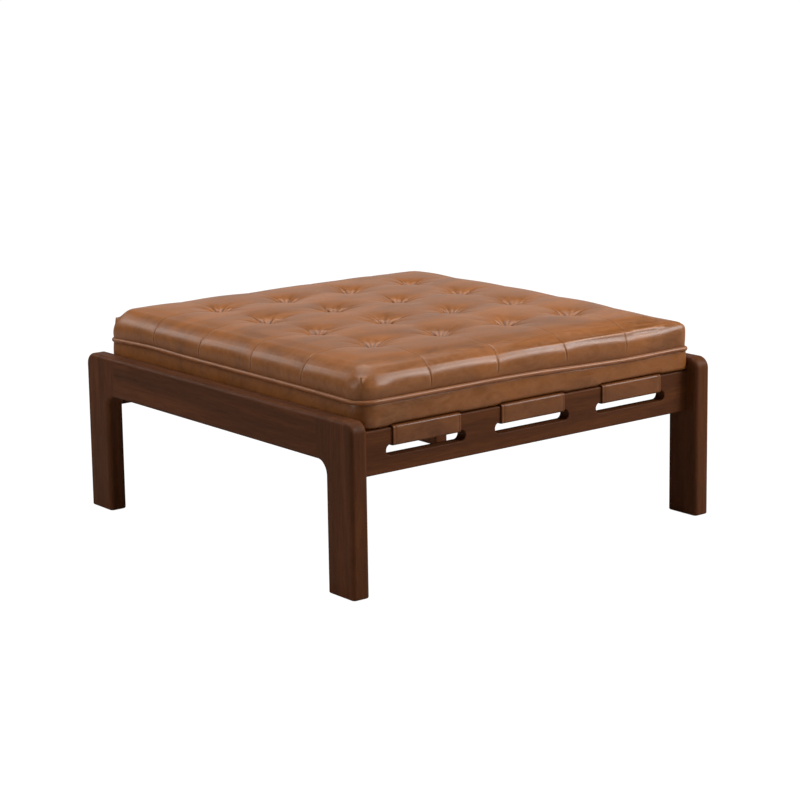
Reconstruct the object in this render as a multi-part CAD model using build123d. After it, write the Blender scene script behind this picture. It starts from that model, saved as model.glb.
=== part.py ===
"""Ottoman coffee table with a tufted leather cushion.

Two arched wooden side frames are joined by two slotted cross rails. Three wide leather
straps run from rail to rail, wrap each rail through its slots and carry a loose cushion
that drops in between the side frames.

Millimetres, +Z up. The origin is the centre of the footprint, on the floor. X runs along
the slotted cross rails and Y along the side frames, so the front is at -Y.
"""
import math
import os

from build123d import *

# Overall sizes
table_width = 863.6
table_depth = 863.6
frame_height = 311.15
overall_height = 412.75

# Side frames
side_thickness = 36.0
leg_width = 75.0
side_rail_height = 78.0
arch_corner_radius = 25.0
outer_corner_radius = 22.0
side_edge_radius = 8.0
foot_edge_radius = 3.0

# Foot glides
glide_diameter = 24.0
glide_flange = 1.5
glide_stem_diameter = 12.0
glide_stem_length = 10.0

# Cross rails
rail_setback = 26.0
rail_thickness = 24.0
rail_height = 79.2
rail_drop = 25.75
rail_edge_radius = 3.0

# Slots in the cross rails
slot_count = 3
slot_gap = 69.0
slot_end_margin = 59.8
slot_height = 20.0
slot_below_rail_top = 29.5
slot_edge_radius = 1.5

# Dowels
dowel_diameter = 10.0
dowel_end_chamfer = 1.0
rail_dowel_length = 40.0
rail_dowel_in_leg = 18.0
rail_dowel_spacing = 44.0
side_dowel_length = 50.0
side_dowel_spacing = 36.0
dowel_clearance = 0.1

# Leather straps
strap_side_room = 12.8
strap_thickness = 3.0
strap_tail = 70.0
strap_outer_bend = 5.0

# Rivets that close each strap's loop
rivet_count = 3
rivet_side_room = 22.2
rivet_from_loop = 40.0
rivet_shank_diameter = 5.0
rivet_head_diameter = 11.0
rivet_head_thickness = 1.0
rivet_cap_thickness = 1.6

# Cushion outline
cushion_side_gap = 4.5
cushion_front_overhang = 0.5
cushion_corner_radius = 30.0
bottom_panel_inset = 5.0
bottom_panel_thickness = 2.5
welt_height = 47.3
edge_height = 103.0
band_bulge = 2.0
welt_draw_in = 2.0
side_bulge = 5.0
crown_reach = 150.0
side_steps = 5
crown_steps = 7

# Welt
welt_diameter = 8.0
welt_outset = 1.5

# Tufts
tuft_columns = 4
tuft_rows = 4
tuft_edge_x = 154.3
tuft_edge_y = 148.3
tuft_depth = 28.0
tuft_ridge = 10.0
tuft_floor_radius = 3.0
tuft_waist_reach_share = 0.38
tuft_waist_depth_share = 0.34

# Foam core and the ties that hold the tufts down
core_inset = 12.0
core_corner_radius = 20.0
core_top_below_tufts = 7.0
tie_diameter = 2.5
tie_end_depth = 2.5
anchor_diameter = 24.0
anchor_thickness = 3.0

# Clearances and cutting overruns
bore_clearance = 0.1
soft_clearance = 0.3
overrun = 5.0
tolerance = 0.01

# Levels and faces worked out from the sizes above
foot_level = glide_flange
side_inner_face = table_width / 2 - side_thickness
arch_top = frame_height - side_rail_height
arch_half = table_depth / 2 - leg_width
side_joint = arch_half - arch_corner_radius
side_rail_middle = (arch_top + frame_height) / 2
rail_outer_face = table_depth / 2 - rail_setback
rail_inner_face = rail_outer_face - rail_thickness
rail_top = frame_height - rail_drop
rail_middle = rail_top - rail_height / 2
rail_centre = (rail_outer_face + rail_inner_face) / 2
slot_length = (2 * side_inner_face - 2 * slot_end_margin - (slot_count - 1) * slot_gap) / slot_count
slot_pitch = slot_length + slot_gap
slot_top = rail_top - slot_below_rail_top
slot_middle = slot_top - slot_height / 2
strap_width = slot_length - 2 * strap_side_room
strap_top = rail_top + strap_thickness
rivet_pitch = (strap_width - 2 * rivet_side_room) / (rivet_count - 1)
cushion_half_x = side_inner_face - cushion_side_gap
cushion_half_y = rail_outer_face + cushion_front_overhang
cushion_bottom = strap_top + soft_clearance
panel_top = cushion_bottom + bottom_panel_thickness
welt_level = cushion_bottom + welt_height
edge_level = cushion_bottom + edge_height
crown_rise = overall_height - edge_level
tuft_pitch_x = 2 * (cushion_half_x - tuft_edge_x) / (tuft_columns - 1)
tuft_pitch_y = 2 * (cushion_half_y - tuft_edge_y) / (tuft_rows - 1)
tuft_reach = (min(tuft_pitch_x, tuft_pitch_y) - tuft_ridge) / 2
tuft_level = overall_height - tuft_depth
core_top = tuft_level - core_top_below_tufts
tie_top = tuft_level - tie_end_depth
anchor_top = panel_top + anchor_thickness


def spread(count, pitch):
    """Places of a row of equal pitch, centred on zero."""
    return [(index - (count - 1) / 2) * pitch for index in range(count)]


strap_places = spread(slot_count, slot_pitch)
tuft_places = [
    (x, y)
    for x in spread(tuft_columns, tuft_pitch_x)
    for y in spread(tuft_rows, tuft_pitch_y)
]


def upright(radius, bottom, top):
    """A vertical cylinder between two levels."""
    return Pos(0, 0, (bottom + top) / 2) * Cylinder(radius, top - bottom)


def pin(direction, diameter, length):
    """A dowel centred on the origin along X or Y, with chamfered ends."""
    turn = Rot(0, 90, 0) if direction == "x" else Rot(90, 0, 0)
    rod = Cylinder(diameter / 2, length)
    return turn * chamfer(rod.edges(), dowel_end_chamfer)


def bore(direction, diameter, length):
    """The hole for a dowel, a clearance wider and longer than the dowel."""
    turn = Rot(0, 90, 0) if direction == "x" else Rot(90, 0, 0)
    return turn * Cylinder(diameter / 2 + dowel_clearance, length + 2 * dowel_clearance)


# Where the dowels lie
rail_dowel_centre = side_inner_face + rail_dowel_in_leg - rail_dowel_length / 2
rail_dowel_places = [
    (side * rail_dowel_centre, end * rail_centre, rail_middle + step)
    for side in (-1, 1)
    for end in (-1, 1)
    for step in spread(2, rail_dowel_spacing)
]
side_dowel_places = [
    (side * (table_width - side_thickness) / 2, end * side_joint, side_rail_middle + step)
    for side in (-1, 1)
    for end in (-1, 1)
    for step in spread(2, side_dowel_spacing)
]
foot_places = [
    (side * (table_width - side_thickness) / 2, end * (table_depth - leg_width) / 2)
    for side in (-1, 1)
    for end in (-1, 1)
]


def side_frame(side):
    """One whole arched side frame before it is cut at its two glue joints."""
    board = Pos(0, (foot_level + frame_height) / 2) * Rectangle(table_depth, frame_height - foot_level)
    arch = Pos(0, arch_top / 2) * Rectangle(2 * arch_half, arch_top)
    outline = board - arch
    outline = fillet(outline.vertices().group_by(Axis.Y)[-1], outer_corner_radius)
    inner = [
        corner
        for corner in outline.vertices()
        if abs(corner.Y - arch_top) < tolerance and abs(corner.X) < table_depth / 2 - tolerance
    ]
    outline = fillet(inner, arch_corner_radius)
    solid = extrude(Plane.YZ * outline, amount=side_thickness / 2, both=True)
    faces = solid.faces().filter_by(Plane.YZ)
    rims = [edge for edge in faces.edges() if edge.center().Z > foot_level + tolerance]
    solid = fillet(rims, side_edge_radius)
    feet = solid.faces().group_by(Axis.Z)[0]
    solid = fillet(feet.edges(), foot_edge_radius)
    solid = Pos(side * (table_width - side_thickness) / 2, 0, 0) * solid
    for place in side_dowel_places:
        solid -= Pos(*place) * bore("y", dowel_diameter, side_dowel_length)
    for place in rail_dowel_places:
        solid -= Pos(*place) * bore("x", dowel_diameter, rail_dowel_length)
    for x, y in foot_places:
        solid -= Pos(x, y) * upright(
            glide_stem_diameter / 2 + bore_clearance, 0, foot_level + glide_stem_length + bore_clearance
        )
    return solid


def side_pieces(side):
    """The two legs, each with its half of the arch corner, and the top rail between them."""
    whole = side_frame(side)
    reach = table_depth
    middle = Box(table_width + reach, 2 * side_joint, 2 * frame_height + reach)
    front = Pos(0, -side_joint - reach / 2, 0) * Box(table_width + reach, reach, 2 * frame_height + reach)
    back = Pos(0, side_joint + reach / 2, 0) * Box(table_width + reach, reach, 2 * frame_height + reach)
    return whole & front, whole & middle, whole & back


def cross_rail(end):
    """One slotted rail between the side frames, front (-1) or back (+1)."""
    rail = Box(2 * side_inner_face, rail_thickness, rail_height)
    rail = fillet(rail.edges().filter_by(Axis.X), rail_edge_radius)
    rail = Pos(0, end * rail_centre, rail_middle) * rail
    for x in strap_places:
        slot = extrude(SlotOverall(slot_length, slot_height), amount=rail_thickness, both=True)
        rail -= Pos(x, end * rail_centre, slot_middle) * Rot(90, 0, 0) * slot
    rims = [
        edge
        for edge in rail.edges()
        if abs(edge.center().X) < side_inner_face - tolerance
        and abs(edge.center().Z - slot_middle) < slot_height / 2 + tolerance
        and abs(abs(edge.center().Y - end * rail_centre) - rail_thickness / 2) < tolerance
    ]
    rail = fillet(rims, slot_edge_radius)
    for place in rail_dowel_places:
        rail -= Pos(*place) * bore("x", dowel_diameter, rail_dowel_length)
    return rail


def rivet_places(strap_x):
    """Rivet centres of one strap, in a row across both of its loops."""
    y = rail_inner_face - rivet_from_loop
    return [(strap_x + x, end * y) for x in spread(rivet_count, rivet_pitch) for end in (-1, 1)]


def strap_loop(end):
    """Side view of the strap where it wraps the top of one rail through a slot."""
    loop_bottom = slot_top - soft_clearance - strap_thickness
    outer_width = rail_thickness + 2 * (soft_clearance + strap_thickness)
    outer_height = strap_top - loop_bottom
    inner_width = outer_width - 2 * strap_thickness
    inner_height = outer_height - 2 * strap_thickness
    middle = Pos(end * rail_centre, (strap_top + loop_bottom) / 2)
    ring = middle * RectangleRounded(outer_width, outer_height, strap_outer_bend)
    return ring - middle * RectangleRounded(inner_width, inner_height, strap_outer_bend - strap_thickness)


def strap(x):
    """One leather strap: a flat span, a loop round each rail and the tails under the span."""
    tail_start = rail_inner_face - soft_clearance - strap_thickness
    view = Pos(0, rail_top + strap_thickness / 2) * Rectangle(2 * rail_inner_face, strap_thickness)
    for end in (-1, 1):
        view += strap_loop(end)
        middle = end * (tail_start - strap_tail / 2 + strap_thickness / 2)
        tail = Rectangle(strap_tail + strap_thickness, strap_thickness)
        view += Pos(middle, rail_top - strap_thickness / 2) * tail
    solid = Pos(x, 0, 0) * extrude(Plane.YZ * view, amount=strap_width / 2, both=True)
    head = rivet_head_diameter / 2 + bore_clearance
    shank = rivet_shank_diameter / 2 + bore_clearance
    for place_x, place_y in rivet_places(x):
        shank_hole = upright(shank, rail_top - 2 * strap_thickness, strap_top)
        head_hole = upright(head, strap_top - rivet_head_thickness, strap_top + overrun)
        solid -= Pos(place_x, place_y) * (shank_hole + head_hole)
    return solid


def strap_rivets():
    """All rivets: a flat head sunk in the strap, a shank and a cap below the tail."""
    underside = rail_top - strap_thickness
    head = upright(rivet_head_diameter / 2, strap_top - rivet_head_thickness, strap_top)
    shank = upright(rivet_shank_diameter / 2, underside - rivet_cap_thickness, strap_top)
    cap = upright(rivet_head_diameter / 2, underside - rivet_cap_thickness, underside)
    rivet = head + shank + cap
    return [Pos(x, y) * rivet for strap_x in strap_places for x, y in rivet_places(strap_x)]


def cushion_section(level, growth):
    """One rounded-square outline of the cushion, grown or drawn in from its nominal size."""
    radius = cushion_corner_radius + growth if growth > 0 else cushion_corner_radius
    outline = RectangleRounded(2 * (cushion_half_x + growth), 2 * (cushion_half_y + growth), radius)
    return Pos(0, 0, level) * outline


def side_sections(bottom, top, bottom_growth, top_growth, bulge):
    """Outlines up one side of the cushion: a straight lean plus an outward bow."""
    sections = []
    for step in range(side_steps + 1):
        share = step / side_steps
        lean = bottom_growth + (top_growth - bottom_growth) * share
        level = bottom + (top - bottom) * share
        sections.append(cushion_section(level, lean + bulge * math.sin(math.pi * share)))
    return sections


def upper_form():
    """The cushion above the welt: drawn in at the welt, bulging sides, crowned top."""
    sections = side_sections(welt_level, edge_level, -welt_draw_in, 0, side_bulge)
    for step in range(1, crown_steps + 1):
        angle = math.pi / 2 * step / crown_steps
        inset = crown_reach * (1 - math.cos(angle))
        sections.append(cushion_section(edge_level + crown_rise * math.sin(angle), -inset))
    return loft(sections, ruled=True)


def lower_form():
    """The cushion's boxing below the welt, above the bottom panel."""
    sections = side_sections(panel_top, welt_level, -bottom_panel_inset, -welt_draw_in, band_bulge)
    return loft(sections, ruled=True)


def tuft_funnel():
    """What one tuft takes away: a funnel that is steep at its floor and shallow at its mouth."""
    waist_radius = tuft_floor_radius + tuft_waist_reach_share * (tuft_reach - tuft_floor_radius)
    waist_level = overall_height - tuft_waist_depth_share * tuft_depth
    top = overall_height + overrun
    view = Polygon(
        (0, tuft_level),
        (tuft_floor_radius, tuft_level),
        (waist_radius, waist_level),
        (tuft_reach, overall_height),
        (tuft_reach, top),
        (0, top),
        align=None,
    )
    return revolve(Plane.XZ * view, Axis.Z)


def welt_tube(radius):
    """The piping round the cushion, between the upper cover and the boxing."""
    growth = welt_outset - welt_draw_in
    path = cushion_section(welt_level, growth).face().outer_wire()
    start = path @ 0
    section = Plane(origin=start, z_dir=path % 0) * Circle(radius)
    return sweep(section, path=path)


def core_form(clearance):
    """The foam slab, or the space for it with a clearance."""
    half_x = cushion_half_x - core_inset + clearance
    half_y = cushion_half_y - core_inset + clearance
    outline = RectangleRounded(2 * half_x, 2 * half_y, core_corner_radius + clearance)
    return Pos(0, 0, panel_top) * extrude(outline, core_top - panel_top + clearance)


def tie_holes(diameter, bottom, top):
    """Sixteen upright holes or rods on the tuft centres."""
    return [Pos(x, y) * upright(diameter / 2, bottom, top) for x, y in tuft_places]


def cushion_top_cover():
    """The leather top with its wadding, tufted, over the foam core."""
    cover = upper_form() - welt_tube(welt_diameter / 2 + soft_clearance)
    funnel = tuft_funnel()
    for x, y in tuft_places:
        cover -= Pos(x, y) * funnel
    cover -= core_form(soft_clearance)
    for hole in tie_holes(tie_diameter + 2 * bore_clearance, core_top, tie_top + bore_clearance):
        cover -= hole
    return cover


def cushion_boxing():
    """The lower leather band with its wadding, round the foam core."""
    return lower_form() - welt_tube(welt_diameter / 2 + soft_clearance) - core_form(soft_clearance)


def cushion_bottom_panel():
    """The flat panel that closes the cushion below."""
    return extrude(cushion_section(cushion_bottom, -bottom_panel_inset), bottom_panel_thickness)


def foam_core():
    """The foam slab with a hole for each tie and a pocket for each anchor."""
    core = core_form(0)
    for hole in tie_holes(tie_diameter + 2 * bore_clearance, anchor_top, core_top + overrun):
        core -= hole
    pocket_diameter = anchor_diameter + 2 * bore_clearance
    for pocket in tie_holes(pocket_diameter, panel_top - overrun, anchor_top + bore_clearance):
        core -= pocket
    return core


def foot_glides():
    """Four nail-on glides: a round flange on the floor and a stem in the leg."""
    flange = upright(glide_diameter / 2, 0, glide_flange)
    stem = upright(glide_stem_diameter / 2, glide_flange, foot_level + glide_stem_length)
    return [Pos(x, y) * (flange + stem) for x, y in foot_places]


def write(name, shape):
    """Write one node's solids to its own file."""
    solids = shape if isinstance(shape, list) else [shape]
    flat = [solid for item in solids for solid in item.solids()]
    export_step(flat[0] if len(flat) == 1 else Compound(flat), os.path.join("parts", name + ".step"))


def main():
    os.makedirs("parts", exist_ok=True)
    for side, side_name in ((-1, "left"), (1, "right")):
        front_leg, top_rail, back_leg = side_pieces(side)
        write("front_" + side_name + "_leg", front_leg)
        write("back_" + side_name + "_leg", back_leg)
        write(side_name + "_side_rail", top_rail)
    for end, end_name in ((-1, "front"), (1, "back")):
        write(end_name + "_cross_rail", cross_rail(end))
    for number, x in enumerate(strap_places, start=1):
        write("leather_strap_" + str(number), strap(x))
    write("strap_rivets", strap_rivets())
    rail_dowel = pin("x", dowel_diameter, rail_dowel_length)
    side_dowel = pin("y", dowel_diameter, side_dowel_length)
    write("cross_rail_dowels", [Pos(*place) * rail_dowel for place in rail_dowel_places])
    write("side_frame_dowels", [Pos(*place) * side_dowel for place in side_dowel_places])
    write("foot_glides", foot_glides())
    write("cushion_top_cover", cushion_top_cover())
    write("cushion_boxing", cushion_boxing())
    write("cushion_bottom_panel", cushion_bottom_panel())
    write("cushion_welt", welt_tube(welt_diameter / 2))
    write("foam_core", foam_core())
    write("tuft_ties", tie_holes(tie_diameter, anchor_top, tie_top))
    write("tuft_anchors", tie_holes(anchor_diameter, panel_top, anchor_top))


main()
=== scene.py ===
"""The ottoman coffee table's looks: leather cushion, straps, walnut frame, studio and camera.

Metres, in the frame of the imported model. X runs along the slotted rails, Y along the arched
side frames, +Z is up.
"""
import math

import bmesh
import bpy
import numpy as np
from mathutils import Matrix, Vector


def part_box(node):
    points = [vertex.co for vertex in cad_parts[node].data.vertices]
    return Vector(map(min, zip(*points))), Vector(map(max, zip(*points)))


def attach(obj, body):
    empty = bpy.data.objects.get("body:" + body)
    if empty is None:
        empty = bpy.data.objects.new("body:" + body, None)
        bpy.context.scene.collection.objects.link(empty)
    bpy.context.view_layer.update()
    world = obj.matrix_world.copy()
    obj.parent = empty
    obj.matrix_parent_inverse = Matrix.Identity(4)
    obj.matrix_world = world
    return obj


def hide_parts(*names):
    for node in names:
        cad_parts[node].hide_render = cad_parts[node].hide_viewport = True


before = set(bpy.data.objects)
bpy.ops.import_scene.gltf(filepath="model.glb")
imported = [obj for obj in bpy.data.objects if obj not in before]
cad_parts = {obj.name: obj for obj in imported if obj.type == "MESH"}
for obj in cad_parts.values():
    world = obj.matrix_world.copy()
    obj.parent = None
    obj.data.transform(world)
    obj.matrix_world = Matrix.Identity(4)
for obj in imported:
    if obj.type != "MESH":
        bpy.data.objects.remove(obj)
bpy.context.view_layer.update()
MM = 0.001

# Camera of the photograph
CAMERA_PLACE = (-2.6093, -3.3208, 1.1404)
CAMERA_YAW = 0.6695
CAMERA_PITCH = 0.1785
CAMERA_ROLL = 0.0148
CAMERA_FOCAL_PIXELS = 2213.25
CAMERA_SHIFT_UP = -0.1
PHOTO_WIDTH = 800.0
SENSOR_WIDTH = 36.0

# Sizes read from the frame
top_low, top_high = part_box("cushion_top_cover")
rail_low, rail_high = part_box("front_cross_rail")
_, tie_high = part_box("tuft_ties")
_, foam_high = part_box("foam_core")
strap_boxes = [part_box("leather_strap_%d" % number) for number in (1, 2, 3)]

# Cushion sizes
WELT_LEVEL = top_low[2]
CROWN_LEVEL = top_high[2] - 8 * MM
HALF_X = (top_high[0] - top_low[0]) / 2 - 4 * MM
HALF_Y = (top_high[1] - top_low[1]) / 2 - 4 * MM
EDGE_LEVEL = 0.3945
EDGE_ROUND = 0.036
EDGE_FALL = 0.048
WELT_RADIUS = 4.6 * MM
CROWN_REACH = 0.090
DOME_SHARE = 0.75
BAND_LEVELS = 14
WELT_SIDES = 14

# Straps
STRAP_THICKNESS = 3.0 * MM

# Corners, anticlockwise, by the signs of their places
CORNERS = ((1, -1), (1, 1), (-1, 1), (-1, -1))
RIGHT_FRONT = CORNERS[0]
CORNER_RADIUS = 0.021
ODD_CORNERS = {(-1, -1): 0.034, RIGHT_FRONT: 0.008}
CORNER_DROPS = (
    ((-1, -1), -0.001, 0.10),
    (RIGHT_FRONT, 0.014, 0.16),
    ((1, 1), 0.006, 0.12),
    ((-1, 1), -0.001, 0.12),
)
CORNER_PASSES = 40

# Tufts
TUFTS_EACH_WAY = 4
TUFT_REACH = 0.038
TUFT_FLOOR_RADIUS = 0.009
TUFT_SPAN_X = 0.478
TUFT_SPAN_Y = 0.484
TUFT_FLOOR = tie_high[2] + 2.0 * MM
tuft_xs = [TUFT_SPAN_X * (n / (TUFTS_EACH_WAY - 1) - 0.5) for n in range(TUFTS_EACH_WAY)]
tuft_ys = [TUFT_SPAN_Y * (n / (TUFTS_EACH_WAY - 1) - 0.5) for n in range(TUFTS_EACH_WAY)]
tufts = [(x, y) for x in tuft_xs for y in tuft_ys]

# Grid and cloth settling of the cover
COVER_STEP = 6.0 * MM
COVER_GATHER = 0.6
SKIRT_ROWS = 12
SIM_SCALE = 10.0
SIM_FRAMES = 20
COVER_SPREAD = 0.011
COVER_PRESSURE = 2.6
COVER_MOVE = 9 * MM


# Node helpers

def new_material(name):
    """An empty node material with its Principled shader and output."""
    material = bpy.data.materials.new(name)
    material.use_nodes = True
    nodes = material.node_tree.nodes
    return material, material.node_tree, nodes["Principled BSDF"]


def new_group(name, inputs, outputs):
    """A shader node group with named sockets: inputs are (name, kind, default)."""
    tree = bpy.data.node_groups.new(name, "ShaderNodeTree")
    for label, kind, default in inputs:
        socket = tree.interface.new_socket(label, in_out="INPUT", socket_type="NodeSocket" + kind)
        if default is not None:
            socket.default_value = default
    for label, kind in outputs:
        tree.interface.new_socket(label, in_out="OUTPUT", socket_type="NodeSocket" + kind)
    return tree, tree.nodes.new("NodeGroupInput"), tree.nodes.new("NodeGroupOutput")


def node(tree, kind, inputs=None, **settings):
    """One node with its settings, and inputs given as values or as output sockets."""
    made = tree.nodes.new("ShaderNode" + kind)
    for key, value in settings.items():
        setattr(made, key, value)
    for key, value in (inputs or {}).items():
        if isinstance(value, bpy.types.NodeSocket):
            tree.links.new(value, made.inputs[key])
        else:
            made.inputs[key].default_value = value
    return made


def ramp(tree, factor, stops):
    """A colour ramp with (position, colour) stops; its colour output."""
    made = node(tree, "ValToRGB", {"Fac": factor})
    elements = made.color_ramp.elements
    while len(elements) < len(stops):
        elements.new(0.5)
    for element, (position, colour) in zip(elements, stops):
        element.position = position
        element.color = (*colour, 1)
    return made.outputs["Color"]


def maths(tree, operation, first, second=0.0, clamp=False):
    """A Math node's result."""
    return node(tree, "Math", {0: first, 1: second}, operation=operation, use_clamp=clamp).outputs[0]


def noise(tree, vector, scale, detail, roughness, distortion=0.0):
    """A Noise node's value."""
    inputs = {"Vector": vector, "Scale": scale, "Detail": detail, "Roughness": roughness, "Distortion": distortion}
    return node(tree, "TexNoise", inputs).outputs[0]


def blend_colours(tree, factor, first, second):
    """A colour Mix node's result."""
    made = node(tree, "Mix", data_type="RGBA")
    for key, value in ((0, factor), (6, first), (7, second)):
        if isinstance(value, bpy.types.NodeSocket):
            tree.links.new(value, made.inputs[key])
        else:
            made.inputs[key].default_value = value if key == 0 else (*value, 1)
    return made.outputs[2]


# Shared effects

def leather_surface():
    """Pull-up leather: cloudy colour, painted shade in folds and hollows, paler ridges (partly the leather's own
    paling where stretched, partly painted highlight) and a fine grain.
    """
    tree, given, out = new_group(
        "Leather surface",
        [
            ("Base", "Color", (0.3, 0.1, 0.04, 1)),
            ("Dark", "Color", (0.12, 0.04, 0.015, 1)),
            ("Pale", "Color", (0.45, 0.2, 0.1, 1)),
            ("Cloud size", "Float", 9.0),
            ("Grain size", "Float", 700.0),
        ],
        [("Color", "Color"), ("Roughness", "Float"), ("Height", "Float")],
    )
    base, dark, pale = (given.outputs[name] for name in ("Base", "Dark", "Pale"))
    place = node(tree, "TexCoord").outputs["Object"]
    stretched = node(tree, "Mapping", {"Vector": place, "Scale": (0.55, 1.3, 1.0)}).outputs[0]
    clouds = noise(tree, stretched, given.outputs["Cloud size"], 6, 0.62, 0.9)
    streaks = noise(tree, stretched, 42.0, 5, 0.7, 1.6)
    cloud_mask = node(tree, "MapRange", {"Value": clouds, "From Min": 0.36, "From Max": 0.66}).outputs[0]
    streak_mask = node(tree, "MapRange", {"Value": streaks, "From Min": 0.38, "From Max": 0.72}).outputs[0]
    darkened = blend_colours(tree, maths(tree, "MULTIPLY", cloud_mask, 0.68), base, dark)
    lifted = blend_colours(tree, maths(tree, "MULTIPLY", streak_mask, 0.46), darkened, pale)

    # The point masks paint shade into hollows, pleats, tuft centres, edges and under the welt, with darker seam
    # lines, and paint highlight on ridges and the piping's top. The ridges also pale as pull-up leather does where
    # stretched.
    painted_shade_and_seams = node(tree, "Attribute", attribute_name="painted_shade_and_seams").outputs["Fac"]
    stretch_and_highlight = node(tree, "Attribute", attribute_name="stretch_and_highlight").outputs["Fac"]
    paled = blend_colours(tree, maths(tree, "MULTIPLY", stretch_and_highlight, 0.75), lifted, pale)
    with_painted_shade = blend_colours(tree, maths(tree, "MULTIPLY", painted_shade_and_seams, 0.75, clamp=True), paled, dark)
    tree.links.new(with_painted_shade, out.inputs["Color"])
    rough = node(
        tree, "MapRange", {"Value": streaks, "From Min": 0.3, "From Max": 0.7, "To Min": 0.30, "To Max": 0.46}
    ).outputs[0]
    tree.links.new(rough, out.inputs["Roughness"])

    grain = {"Vector": place, "Scale": given.outputs["Grain size"], "Randomness": 1.0}
    cells = node(tree, "TexVoronoi", grain, feature="F1").outputs["Distance"]
    wrinkle = noise(tree, place, 120.0, 4, 0.6)
    height = maths(tree, "ADD", maths(tree, "MULTIPLY", cells, 0.35), maths(tree, "MULTIPLY", wrinkle, 0.8))
    tree.links.new(height, out.inputs["Height"])
    return tree


def wood_surface():
    """Stained open-pored wood; its grain runs along the vector's Z."""
    tree, given, out = new_group(
        "Walnut surface",
        [
            ("Vector", "Vector", None),
            ("Base", "Color", (0.05, 0.02, 0.012, 1)),
            ("Dark", "Color", (0.02, 0.008, 0.005, 1)),
            ("Pale", "Color", (0.11, 0.045, 0.025, 1)),
        ],
        [("Color", "Color"), ("Roughness", "Float"), ("Height", "Float")],
    )
    place, base, dark, pale = (given.outputs[name] for name in ("Vector", "Base", "Dark", "Pale"))
    along = node(tree, "Mapping", {"Vector": place, "Scale": (1.0, 1.0, 0.07)}).outputs[0]
    figure = noise(tree, along, 22.0, 6, 0.62, 1.2)
    fibres = noise(tree, along, 330.0, 4, 0.65)
    pores_along = node(tree, "Mapping", {"Vector": place, "Scale": (1.0, 1.0, 0.035)}).outputs[0]
    pores = noise(tree, pores_along, 900.0, 2, 0.5)
    figured = ramp(tree, figure, [(0.30, (0.0, 0.0, 0.0)), (0.5, (0.28, 0.28, 0.28)), (0.68, (0.95, 0.95, 0.95))])
    toned = blend_colours(tree, figured, base, pale)
    fibre_mask = node(tree, "MapRange", {"Value": fibres, "From Min": 0.42, "From Max": 0.68}).outputs[0]
    fibred = blend_colours(tree, maths(tree, "MULTIPLY", fibre_mask, 0.28), toned, dark)
    pore_mask = node(tree, "MapRange", {"Value": pores, "From Min": 0.60, "From Max": 0.70}).outputs[0]
    pored = blend_colours(tree, maths(tree, "MULTIPLY", pore_mask, 0.35), fibred, dark)
    tree.links.new(pored, out.inputs["Color"])
    rough = node(
        tree, "MapRange", {"Value": fibres, "From Min": 0.3, "From Max": 0.7, "To Min": 0.42, "To Max": 0.56}
    ).outputs[0]
    tree.links.new(rough, out.inputs["Roughness"])
    height = maths(tree, "SUBTRACT", maths(tree, "MULTIPLY", fibres, 0.4), maths(tree, "MULTIPLY", pore_mask, 0.6))
    tree.links.new(height, out.inputs["Height"])
    return tree


LEATHER = leather_surface()
WALNUT = wood_surface()


def finish_shader(name, group, colours, bump_strength, bump_distance):
    """A material whose colour, roughness and bump come from a shared surface."""
    material, tree, shader = new_material(name)
    surface = node(tree, "Group", node_tree=group)
    for label, colour in zip(("Base", "Dark", "Pale"), colours):
        surface.inputs[label].default_value = (*colour, 1)
    tree.links.new(surface.outputs["Color"], shader.inputs["Base Color"])
    tree.links.new(surface.outputs["Roughness"], shader.inputs["Roughness"])
    relief = {"Height": surface.outputs["Height"], "Strength": bump_strength, "Distance": bump_distance}
    tree.links.new(node(tree, "Bump", relief).outputs["Normal"], shader.inputs["Normal"])
    return material, tree, shader, surface


def leather(name, colours, cloud_size, bump_distance, coat):
    """One leather finish from the shared surface: base, dark and pale colours."""
    material, _, shader, surface = finish_shader(name, LEATHER, colours, 0.22, bump_distance)
    surface.inputs["Cloud size"].default_value = cloud_size
    surface.inputs["Grain size"].default_value = 900.0
    shader.inputs["Specular IOR Level"].default_value = 0.30
    shader.inputs["Coat Weight"].default_value = coat
    shader.inputs["Coat Roughness"].default_value = 0.32
    return material


def walnut(name, turn):
    """Stained walnut with the grain along one axis: turn brings that axis to Z."""
    colours = (0.084, 0.0260, 0.0080), (0.025, 0.0072, 0.0024), (0.155, 0.0480, 0.0140)
    material, tree, shader, surface = finish_shader(name, WALNUT, colours, 0.12, 0.0004)
    place = node(tree, "TexCoord").outputs["Object"]
    turned = node(tree, "Mapping", {"Vector": place, "Rotation": turn}).outputs[0]
    tree.links.new(turned, surface.inputs["Vector"])
    shader.inputs["Specular IOR Level"].default_value = 0.11
    return material


def speckled(name, colour, other, scale, roughness, metallic=0.0, bump=0.1):
    """A small part's finish: two close tones in a fine noise, with its own bump."""
    material, tree, shader = new_material(name)
    place = node(tree, "TexCoord").outputs["Object"]
    speckle = node(tree, "TexNoise", {"Vector": place, "Scale": scale, "Detail": 4}).outputs[0]
    tree.links.new(blend_colours(tree, speckle, colour, other), shader.inputs["Base Color"])
    spread = {"Value": speckle, "To Min": roughness - 0.08, "To Max": roughness + 0.08}
    tree.links.new(node(tree, "MapRange", spread).outputs[0], shader.inputs["Roughness"])
    shader.inputs["Metallic"].default_value = metallic
    made = node(tree, "Bump", {"Height": speckle, "Strength": bump, "Distance": 0.0005})
    tree.links.new(made.outputs["Normal"], shader.inputs["Normal"])
    return material


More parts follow.
